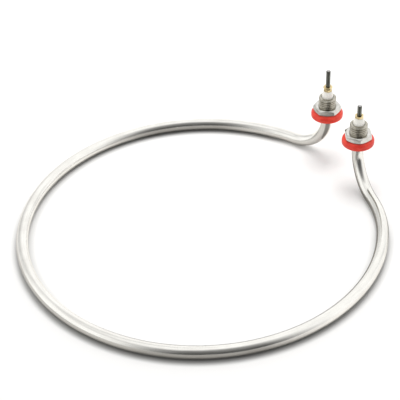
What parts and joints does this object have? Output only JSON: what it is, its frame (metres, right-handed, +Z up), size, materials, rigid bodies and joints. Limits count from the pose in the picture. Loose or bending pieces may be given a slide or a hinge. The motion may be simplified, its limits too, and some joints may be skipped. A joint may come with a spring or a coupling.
{
  "type": "tubular heating element",
  "caption": "Open ring of stainless sheathed heating tube with its ends bent upright, each in a threaded bushing with a red gasket and hex nut.",
  "frame": {"origin": "middle of the element's box in X and Y, at the height of the surface the ring lies on", "axes": "+Z up, along both threaded studs; +X from the ring's centre towards the gap between its two ends; the rear end is on the +Y side"},
  "size_m": [0.2498, 0.244, 0.0691],
  "materials": {
    "stainless_tube": "satin drawn and annealed stainless tube",
    "stainless_fitting": "turned stainless, bright chamfers",
    "red_silicone": "moulded silicone, soft sheen",
    "ceramic": "fired white ceramic, slightly matt",
    "brass": "turned brass",
    "pin_steel": "oxidised dark steel",
    "magnesia": "packed white powder",
    "resistance_wire": "wound resistance wire",
    "seal_resin": "cast sealing resin"
  },
  "bodies": {
    "root": {"sheath_tube": "stainless_tube", "insulating_powder": "magnesia", "powder_core": "magnesia", "heating_coil": "resistance_wire", "rear_cold_pin": "pin_steel", "rear_end_seal": "seal_resin", "rear_insulator_bead": "ceramic", "rear_threaded_bushing": "stainless_fitting", "rear_gasket": "red_silicone", "rear_hex_nut": "stainless_fitting", "rear_terminal_nut_1": "brass", "rear_terminal_nut_2": "brass", "front_cold_pin": "pin_steel", "front_end_seal": "seal_resin", "front_insulator_bead": "ceramic", "front_threaded_bushing": "stainless_fitting", "front_gasket": "red_silicone", "front_hex_nut": "stainless_fitting", "front_terminal_nut_1": "brass"}
  },
  "joints": []
}
